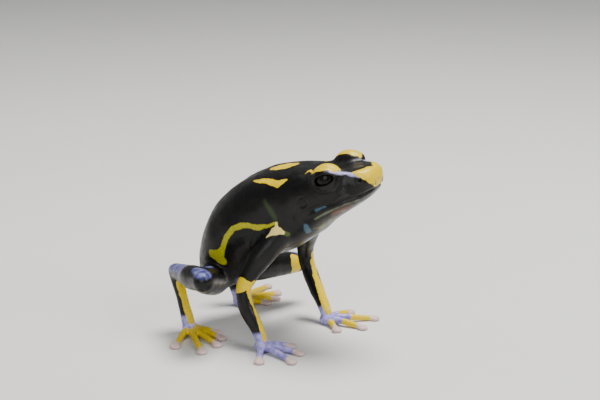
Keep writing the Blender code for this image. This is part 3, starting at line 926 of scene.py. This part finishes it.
# The shoulder's yellow patch and its link to the side stripe, painted a pale cream: the patch's yellow
# with painted light on it
SHOULDER_PATCH = [
    (-0.5, -8.0, 19.8, 0.12),
    (0.7, -7.5, 20.9, 0.72),
    (1.3, -7.0, 21.0, 0.65),
    (2.0, -6.8, 20.7, 0.3),
]
SHOULDER_LINK = [(0.9, -7.2, 22.4, 0.18), (1.0, -7.3, 21.4, 0.4)]
# The front end of the shoulder patch, painted dark green: its yellow in painted shade
SHADED_SHOULDER_TIP = [(1.9, -6.9, 20.8, 0.35), (2.7, -6.3, 20.4, 0.4)]
# A faint stripe from the back down to the shoulder, painted a dim dark olive as painted shade
SHADED_STREAK = [(-1.3, -7.3, 26.0, 0.3), (-0.2, -7.4, 24.6, 0.45), (0.7, -7.2, 23.2, 0.4)]
BELLY_SPOTS = [
    (1.5, -3.0, 15.4, 1.1),
    (-1.5, -1.0, 14.0, 1.4),
    (-3.5, -4.4, 12.6, 1.2),
    (-6.0, -1.4, 11.4, 1.5),
    (-8.5, -4.0, 9.6, 1.2),
    (4.5, -1.2, 18.6, 1.2),
]

# The yellow patch on the bent left knee
FAR_KNEE_PATCH = [(-8.4, 14.6, 9.5, 1.2), (-8.5, 14.7, 8.4, 1.45), (-8.6, 14.8, 7.2, 1.2)]
# The yellow down the front of the left forearm
FAR_ARM_STRIPE = [
    (-1.8, 10.6, 10.6, 1.1),
    (-0.9, 10.1, 8.4, 1.0),
    (0.6, 9.0, 6.0, 0.95),
    (1.7, 8.2, 4.1, 0.85),
    (2.5, 7.8, 2.6, 0.6),
]


# Markings beside a stretch of limb: share of the way, forwards, outwards, up, half width
ELBOW_PATCH = [(0.0, -1.3, 1.0, 0.2, 0.9), (0.0, 0.0, 1.2, 1.0, 1.35), (0.0, 1.6, 0.0, 0.9, 0.6)]
UPPER_ARM_LINE = [(0.0, 1.6, 0.0, 0.9, 0.5), (0.2, 1.7, 0.0, 0.0, 0.25), (0.42, 2.0, 0.0, 0.0, 0.12)]
FOREARM_STRIPE = [
    (0.02, 1.5, 0.4, 0.0, 0.75),
    (0.3, 1.35, 0.2, 0.0, 0.5),
    (0.65, 1.25, 0.2, 0.0, 0.55),
    (1.0, 0.9, 0.3, 0.0, 0.5),
]
TARSUS_BAR = [(0.2, 0.0, 0.0, 0.0, 1.0), (0.55, 0.0, 0.0, 0.0, 0.85), (0.95, 0.0, 0.0, 0.0, 0.7)]
TARSUS_FACING = (1.0, 0.35)
TARSUS_DEPTH = 1.1
KNEE_PATCH = [(0.0, 0.0, 0.0, 1.2, 1.5), (0.16, 0.0, 0.0, 1.5, 1.1)]
SHANK_ARC = [
    (0.42, 0.0, 0.0, 0.2, 0.8),
    (0.52, 0.0, 0.0, 1.5, 1.15),
    (0.72, 0.0, 0.0, 1.6, 1.15),
    (0.95, 0.0, 0.0, 1.0, 1.2),
]
SHANK_DEPTH = 1.2
THIGH_PATCH = [(0.45, 0.0, 0.0, 2.2, 0.8), (0.62, 0.0, 0.0, 2.0, 0.7)]

# The lilac back of a hand or foot: forwards of its root, height, half width
PAW_PATCH = [(0.0, 1.7, 1.9), (1.6, 0.8, 2.4)]

# Bands round the digits: side, hand or foot, and from and to which share of a digit's length
YELLOW_BANDS = [(1, HANDS, 0.66, 0.95), (-1, FEET, 0.34, 0.95), (1, FEET, 0.34, 0.95)]
LILAC_BANDS = [(-1, HANDS, 0.3, 0.95), (1, HANDS, 0.2, 0.6)]
DISC_BANDS = [(side, paw, 1.0, 1.0) for side in (-1, 1) for paw in (HANDS, FEET)]
BAND_HALF = 0.95
DISC_BAND_HALF = 1.3
BAND_STEPS = 10
BAND_STRIDE = 4

# What a point far from a marking or a pupil is given as its distance
FAR_AWAY = 9.0


def beside_limb(start, end, side, places):
    """The places of a marking beside the stretch of limb between two joints."""
    return [
        (*(start.lerp(end, share) + Vector((forward, side * outward, up))), half)
        for share, forward, outward, up, half in places
    ]


def arm_yellow(side):
    """The elbow's patch, the line on the front of the upper arm and the stripe down the forearm."""
    shoulder, elbow, wrist = limb_points(ARMS[side])
    yield beside_limb(elbow, shoulder, side, ELBOW_PATCH)
    yield beside_limb(elbow, shoulder, side, UPPER_ARM_LINE)
    yield beside_limb(elbow, wrist, side, FOREARM_STRIPE)


def leg_yellow(side):
    """The bar down the front of the tarsus."""
    _, _, heel, sole = limb_points(LEGS[side])
    forward, outward = TARSUS_FACING
    front = Vector((forward, outward * side, 0.0)).normalized() * TARSUS_DEPTH
    return beside_limb(heel + front, sole + front, side, TARSUS_BAR)


def leg_blue(side):
    """Blue on the bent knee, along the shank's upper face to the heel, and on the thigh."""
    hip, knee, heel, _ = limb_points(LEGS[side])
    out = (heel - knee).cross(Vector((0.0, 0.0, 1.0))).normalized() * (SHANK_DEPTH * side)
    yield beside_limb(knee, heel, side, KNEE_PATCH)
    yield beside_limb(knee + out, heel + out, side, SHANK_ARC)
    yield beside_limb(hip, knee, side, THIGH_PATCH)


def digit_strokes(bands, half):
    """Bands round every digit of a hand or foot, between two shares of its length."""
    for side, paw, share_from, share_to in bands:
        for base, knuckle, tip, _ in paw_digits(paw, side):
            path = spline([base, knuckle, tip], BAND_STEPS)
            first, last = (round(share * (len(path) - 1)) for share in (share_from, share_to))
            yield [(*place, half) for place in path[first : last + 1 : BAND_STRIDE]]


def nearest_of(points, strokes):
    result = np.full(len(points), FAR_AWAY)
    for places in strokes:
        result = np.minimum(result, stroke(points, places))
    return result


def yellow_strokes():
    yield from head_pairs(SNOUT_PATCH, LID_PATCH)
    for side in (-1, 1):
        yield from arm_yellow(side)
        yield leg_yellow(side)
    yield from (FAR_ARM_STRIPE, BACK_STRIPE, FAR_BACK_STRIPE, FAR_KNEE_PATCH)


def blue_strokes():
    for side in (-1, 1):
        yield from leg_blue(side)
    yield from both_sides(*([spot] for spot in BELLY_SPOTS))


def hand_strokes():
    """The lilac backs of the hands and feet, with the wrists and ankles."""
    for side in (-1, 1):
        for paw in (HANDS, FEET):
            root = paw_root(paw, side)
            yield [(root.x + forward, root.y, height, half) for forward, height, half in PAW_PATCH]


MARKINGS = {
    "yellow": yellow_strokes,
    "shaded_side_yellow": lambda: both_sides(SIDE_STRIPE, GROIN_PATCH),
    "lit_cream": lambda: both_sides(SHOULDER_PATCH, SHOULDER_LINK),
    "canthus_highlight": lambda: [on_head(LID_HIGHLIGHT_LINE, -1), *head_pairs(CANTHUS_HIGHLIGHT_LINE)],
    "lip_highlight": lambda: head_pairs(LIP_HIGHLIGHT_LINE),
    "blue": blue_strokes,
    "pale_blue": lambda: head_pairs(LIP_SPOT, THROAT_SPOT),
    "lilac": hand_strokes,
    "yellow_digit": lambda: digit_strokes(YELLOW_BANDS, BAND_HALF),
    "lilac_digit": lambda: digit_strokes(LILAC_BANDS, BAND_HALF),
    "disc": lambda: digit_strokes(DISC_BANDS, DISC_BAND_HALF),
    "shaded_streak": lambda: both_sides(SHADED_STREAK),
    "throat_olive": lambda: head_pairs(THROAT_OLIVE),
    "shaded_shoulder_tip": lambda: both_sides(SHADED_SHOULDER_TIP),
    "freckle": lambda: [[spot] for spots in head_pairs(FRECKLES) for spot in spots],
    "brown": lambda: head_pairs(THROAT_BROWN),
}


def write_values(mesh, name, values):
    """Keeps one number for each of the mesh's points."""
    attribute = mesh.attributes.new(name, "FLOAT", "POINT")
    attribute.data.foreach_set("value", values.astype(np.float32))


def write_markings(target):
    """Keeps each marking's signed distance, in mm, on the skin's points."""
    points = read_points(target.data)
    for name, strokes in MARKINGS.items():
        write_values(target.data, name, nearest_of(points, strokes()))


def new_material(name):
    result = bpy.data.materials.new(name)
    result.use_nodes = True
    return result, result.node_tree, result.node_tree.nodes["Principled BSDF"]


def add(tree, kind, settings=None, **values):
    """A node with its settings and inputs; an input goes by its name, or by _ and its number."""
    made = tree.nodes.new(kind)
    for key, value in (settings or {}).items():
        setattr(made, key, value)
    for key, value in values.items():
        socket = made.inputs[int(key[1:])] if key[0] == "_" else made.inputs[key.replace("_", " ")]
        if isinstance(value, bpy.types.NodeSocket):
            tree.links.new(value, socket)
        else:
            socket.default_value = value
    return made


def calculate(tree, operation, first, second):
    return add(tree, "ShaderNodeMath", {"operation": operation}, _0=first, _1=second).outputs[0]


def span(tree, value, low, high, start=0.0, end=1.0):
    """The value's place between low and high, eased, as a number from start to end."""
    settings = {"interpolation_type": "SMOOTHSTEP"}
    made = add(tree, "ShaderNodeMapRange", settings, _0=value, _1=low, _2=high, _3=start, _4=end)
    return made.outputs[0]


def blend_colours(tree, share, first, second):
    """A mix of two colours; the mix node's share and colours are its inputs 0, 6 and 7."""
    made = add(tree, "ShaderNodeMix", {"data_type": "RGBA"})
    for socket, value in ((made.inputs[0], share), (made.inputs[6], first), (made.inputs[7], second)):
        if isinstance(value, bpy.types.NodeSocket):
            tree.links.new(value, socket)
        elif isinstance(value, tuple):
            socket.default_value = (*value, 1.0)
        else:
            socket.default_value = value
    return made.outputs[2]


def speckle(tree, place, scale, detail=2.0):
    return add(tree, "ShaderNodeTexNoise", None, Vector=place, Scale=scale, Detail=detail).outputs[0]


# Colours of the skin and the eyes
BLACK = (0.0022, 0.0022, 0.0024)
BLACK_WORN = (0.0068, 0.0056, 0.0052)
YELLOW = (0.64, 0.44, 0.0)
YELLOW_PALE = (0.72, 0.53, 0.0)
# Dim olive yellow of the side stripe and groin patch: their yellow with painted shade
SHADED_SIDE_YELLOW = (0.32, 0.30, 0.0)
SHADED_SIDE_YELLOW_PALE = (0.42, 0.40, 0.002)
# Pale cream of the shoulder patch: its yellow with painted light on it
LIT_CREAM = (0.80, 0.66, 0.20)
# Dim olive of the faint streak above the shoulder: painted shade
SHADED_STREAK_OLIVE = (0.06, 0.11, 0.025)
BLUE = (0.035, 0.035, 0.15)
BLUE_PALE = (0.16, 0.17, 0.40)
SPOT_BLUE = (0.045, 0.10, 0.14)
LILAC = (0.20, 0.18, 0.50)
LILAC_PALE = (0.42, 0.38, 0.72)
DISC_PINK = (0.60, 0.44, 0.42)
# Pale lilac of the painted highlight along the ridge from nostril to eye
CANTHUS_HIGHLIGHT = (0.55, 0.50, 0.85)
THROAT_GREEN = (0.16, 0.18, 0.05)
FRECKLE = (0.05, 0.025, 0.004)
# Dark green of the shoulder patch's front end: its yellow in painted shade
SHADED_TIP_GREEN = (0.05, 0.08, 0.015)
# Grey-green of the painted highlight along the lower lip
LIP_HIGHLIGHT = (0.11, 0.125, 0.075)
BROWN = (0.085, 0.034, 0.02)
IRIS = (0.004, 0.003, 0.002)
IRIS_FLECK = (0.018, 0.010, 0.005)
PUPIL = (0.002, 0.002, 0.0025)

# Spans of the noise over which one shade passes into the next
YELLOW_SPAN = (0.35, 0.7)
LILAC_SPAN = (0.35, 0.65)
BLUE_SPAN = (0.35, 0.7)
BLACK_SPAN = (0.4, 0.7)
IRIS_SPAN = (0.4, 0.7)
MOTTLE_SPAN = (0.5, 0.66)
PUPIL_SPAN = (0.85, 1.1)

# Grain and gloss of the skin and the eyes, with the noises in lumps to a metre
BROAD_NOISE = 260.0
MIDDLE_NOISE = 900.0
FINE_NOISE = 3200.0
PORES = 2300.0
EDGE_RAGGEDNESS = 0.5
OLIVE_SHARE = 0.35
BUMP_STRENGTH = 0.45
BUMP_DISTANCE = 0.00006
SKIN_ROUGHNESS = (0.3, 0.7, 0.3, 0.45)
SKIN_COAT = 0.12
SKIN_COAT_ROUGHNESS = 0.12
SKIN_IOR = 1.38
SKIN_SPECULAR = 0.3
EYE_NOISE = 2600.0
EYE_NOISE_DETAIL = 4.0
EYE_ROUGHNESS = 0.14
EYE_COAT = 0.06
EYE_COAT_ROUGHNESS = 0.03
EYE_SPECULAR = 0.12


def marked(tree, name, ragged, softness):
    """How much of a marking shows, from its distance and a ragged edge."""
    distance = add(tree, "ShaderNodeAttribute", {"attribute_name": name}).outputs["Fac"]
    return span(tree, calculate(tree, "ADD", distance, ragged), -softness, softness, 1.0, 0.0)


def skin_material():
    """Moist black skin with yellow, blue and lilac markings, fine grain and a wet coat."""
    result, tree, shader = new_material("frog_skin")
    place = add(tree, "ShaderNodeTexCoord").outputs["Object"]
    broad = speckle(tree, place, BROAD_NOISE)
    middle = speckle(tree, place, MIDDLE_NOISE)
    fine = speckle(tree, place, FINE_NOISE)
    ragged = calculate(tree, "MULTIPLY", calculate(tree, "SUBTRACT", middle, 0.5), EDGE_RAGGEDNESS)
    fine_share = span(tree, fine, *YELLOW_SPAN)
    yellow = blend_colours(tree, fine_share, YELLOW, YELLOW_PALE)
    shaded_side_yellow = blend_colours(tree, fine_share, SHADED_SIDE_YELLOW, SHADED_SIDE_YELLOW_PALE)
    lilac = blend_colours(tree, span(tree, middle, *LILAC_SPAN), LILAC, LILAC_PALE)
    blue = blend_colours(tree, span(tree, middle, *BLUE_SPAN), BLUE, BLUE_PALE)
    colour = blend_colours(tree, span(tree, broad, *BLACK_SPAN), BLACK, BLACK_WORN)
    layers = (
        ("brown", BROWN, 0.5),
        # Faint streak above the shoulder, in painted shade
        ("shaded_streak", SHADED_STREAK_OLIVE, 0.35),
        ("throat_olive", THROAT_GREEN, 1.6),
        ("blue", blue, 0.3),
        ("pale_blue", SPOT_BLUE, 0.2),
        # Painted highlight along the ridges from nostril to eye and over the right lid
        ("canthus_highlight", CANTHUS_HIGHLIGHT, 0.3),
        # Painted highlight along the lower lip
        ("lip_highlight", LIP_HIGHLIGHT, 0.25),
        ("lilac", lilac, 0.35),
        ("lilac_digit", lilac, 0.12),
        ("yellow_digit", yellow, 0.12),
        ("disc", DISC_PINK, 0.15),
        # Front end of the shoulder patch, in painted shade
        ("shaded_shoulder_tip", SHADED_TIP_GREEN, 0.15),
        # Side stripe and groin patch, yellow in painted shade
        ("shaded_side_yellow", shaded_side_yellow, 0.12),
        # Shoulder patch, yellow with painted light
        ("lit_cream", LIT_CREAM, 0.1),
        ("yellow", yellow, 0.07),
        ("freckle", FRECKLE, 0.1),
    )
    thin = {"shaded_streak": OLIVE_SHARE, "throat_olive": span(tree, middle, *MOTTLE_SPAN)}
    for name, paint, softness in layers:
        share = marked(tree, name, ragged, softness)
        if name in thin:
            share = calculate(tree, "MULTIPLY", share, thin[name])
        colour = blend_colours(tree, share, colour, paint)
    tree.links.new(colour, shader.inputs["Base Color"])
    tree.links.new(span(tree, middle, *SKIN_ROUGHNESS), shader.inputs["Roughness"])
    grain = add(tree, "ShaderNodeTexVoronoi", {"feature": "SMOOTH_F1"}, Vector=place, Scale=PORES)
    height = calculate(tree, "ADD", calculate(tree, "MULTIPLY", grain.outputs["Distance"], -1.0), fine)
    bump = add(tree, "ShaderNodeBump", None, Strength=BUMP_STRENGTH, Distance=BUMP_DISTANCE, Height=height)
    tree.links.new(bump.outputs["Normal"], shader.inputs["Normal"])
    shader.inputs["Coat Weight"].default_value = SKIN_COAT
    shader.inputs["Coat Roughness"].default_value = SKIN_COAT_ROUGHNESS
    shader.inputs["IOR"].default_value = SKIN_IOR
    shader.inputs["Specular IOR Level"].default_value = SKIN_SPECULAR
    return result


def eye_material(word):
    """A near-black iris with a wet, clear front."""
    result, tree, shader = new_material(f"eye_{word}")
    pupil = add(tree, "ShaderNodeAttribute", {"attribute_name": "pupil"}).outputs["Fac"]
    place = add(tree, "ShaderNodeTexCoord").outputs["Object"]
    fleck = speckle(tree, place, EYE_NOISE, EYE_NOISE_DETAIL)
    iris = blend_colours(tree, span(tree, fleck, *IRIS_SPAN), IRIS, IRIS_FLECK)
    colour = blend_colours(tree, span(tree, pupil, *PUPIL_SPAN), PUPIL, iris)
    tree.links.new(colour, shader.inputs["Base Color"])
    shader.inputs["Roughness"].default_value = EYE_ROUGHNESS
    shader.inputs["Coat Weight"].default_value = EYE_COAT
    shader.inputs["Coat Roughness"].default_value = EYE_COAT_ROUGHNESS
    shader.inputs["Specular IOR Level"].default_value = EYE_SPECULAR
    return result


def eyeball(side, word):
    """A round eye with a slightly domed cornea; its pupil is a wide ellipse."""
    axes = eye_axes(side)
    size = EYE_RADIUS - EYE_GAP
    ball = ellipsoid(f"eyeball_{word}", eye_centre(side), axes, (size, size, size), EYE_RINGS)
    points = read_points(ball.data)
    away = points - np.array(eye_centre(side))
    depth, length, height = (away @ np.array(axis) for axis in axes)
    dome = swell(np.hypot(length, height), CORNEA) * (depth > 0)
    points += np.array(axes[0]) * dome[:, None]
    write_points(ball.data, points)
    pupil = ellipse_share(length, height, PUPIL_HALF) + FAR_AWAY * (depth < 0)
    write_values(ball.data, "pupil", pupil)
    ball.data.shade_smooth()
    return ball


def into_frame(piece, shift):
    """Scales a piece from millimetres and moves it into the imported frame."""
    piece.data.transform(Matrix.Translation(shift) @ Matrix.Scale(MM, 4))
    piece.data.update()


# The dish under the frog: radii of its middle, its flat part and its curve in metres, and its look
FLOOR_HUB = 0.02
FLOOR_FLAT = 0.5
FLOOR_CURVE = 0.35
FLOOR_SIDES = 96
FLOOR_TURNS = range(10, 91, 10)
FLOOR_NOISE = 14.0
FLOOR_TONES = ((0.66, 0.66, 0.64), (0.71, 0.71, 0.69))
FLOOR_ROUGHNESS = 0.75

# Lights: name, place, width, power and colour; the place they shine on; and the sky's colour
LIGHTS = (
    ("key", (0.02, 0.10, 0.42), 0.22, 3.2, (1.0, 0.98, 0.95)),
    ("fill", (0.10, -0.36, 0.20), 0.30, 0.7, (1.0, 1.0, 1.0)),
    ("front", (0.36, -0.02, 0.26), 0.22, 0.9, (1.0, 0.98, 0.94)),
)
LIT_PLACE = Vector((0.0, 0.0, 0.018))
SKY_COLOUR = (0.86, 0.9, 0.94, 1.0)
SKY_STRENGTH = 0.24


def floor():
    """A pale, seamless dish: flat round the frog and curving up far behind it."""
    bm = bmesh.new()
    profile = [(FLOOR_HUB, 0.0), (FLOOR_FLAT, 0.0)]
    for turn in FLOOR_TURNS:
        angle = math.radians(turn)
        profile.append((FLOOR_FLAT + FLOOR_CURVE * math.sin(angle), FLOOR_CURVE * (1 - math.cos(angle))))
    loops = []
    for radius, height in profile:
        loops.append([
            bm.verts.new((radius * math.cos(a), radius * math.sin(a), height))
            for a in (2 * math.pi * index / FLOOR_SIDES for index in range(FLOOR_SIDES))
        ])
    bm.faces.new(loops[0])
    for near, far in zip(loops, loops[1:]):
        for index in range(FLOOR_SIDES):
            after = (index + 1) % FLOOR_SIDES
            bm.faces.new((near[index], far[index], far[after], near[after]))
    dish = mesh_object("floor", bm)
    dish.data.shade_smooth()
    result, tree, shader = new_material("floor")
    place = add(tree, "ShaderNodeTexCoord").outputs["Object"]
    tone = blend_colours(tree, speckle(tree, place, FLOOR_NOISE), *FLOOR_TONES)
    tree.links.new(tone, shader.inputs["Base Color"])
    shader.inputs["Roughness"].default_value = FLOOR_ROUGHNESS
    dish.data.materials.append(result)


def soft_light(name, place, width, power, colour):
    lamp = bpy.data.lights.new(name, "AREA")
    lamp.shape = "DISK"
    lamp.size = width
    lamp.energy = power
    lamp.color = colour
    item = bpy.data.objects.new(name, lamp)
    item.location = place
    item.rotation_euler = (Vector(place) - LIT_PLACE).to_track_quat("Z", "Y").to_euler()
    bpy.context.scene.collection.objects.link(item)


def lights():
    for light in LIGHTS:
        soft_light(*light)
    world = bpy.data.worlds.new("studio")
    world.use_nodes = True
    world.node_tree.nodes["Background"].inputs["Color"].default_value = SKY_COLOUR
    world.node_tree.nodes["Background"].inputs["Strength"].default_value = SKY_STRENGTH
    bpy.context.scene.world = world


def camera(shift):
    """The photograph's view: a long lens from the frog's right front, a little above it."""
    away = Vector((
        math.sin(AZIMUTH) * math.cos(ELEVATION),
        -math.cos(AZIMUTH) * math.cos(ELEVATION),
        math.sin(ELEVATION),
    ))
    data = bpy.data.cameras.new("camera")
    data.sensor_width = SENSOR_WIDTH
    data.lens = SENSOR_WIDTH * CAMERA_DISTANCE / FIELD_WIDTH
    data.clip_start = CLIP_START
    item = bpy.data.objects.new("camera", data)
    item.location = CAMERA_AIM * MM + shift + away * CAMERA_DISTANCE
    item.rotation_euler = away.to_track_quat("Z", "Y").to_euler()
    bpy.context.scene.collection.objects.link(item)
    bpy.context.scene.camera = item


def build():
    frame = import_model()
    low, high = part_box("eye_right")
    shift = (low + high) / 2 - eye_centre(-1) * MM
    camera(shift)
    frog = skin()
    write_markings(frog)
    frog.data.materials.clear()
    frog.data.materials.append(skin_material())
    into_frame(frog, shift)
    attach(frog, "root")
    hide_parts(*(name for name in frame["nodes"] if not name.startswith("eye")))
    for word, side in SIDES:
        ball = eyeball(side, word)
        ball.data.materials.append(eye_material(word))
        into_frame(ball, shift)
        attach(ball, "root")
        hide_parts(f"eye_{word}")
    floor()
    lights()


build()
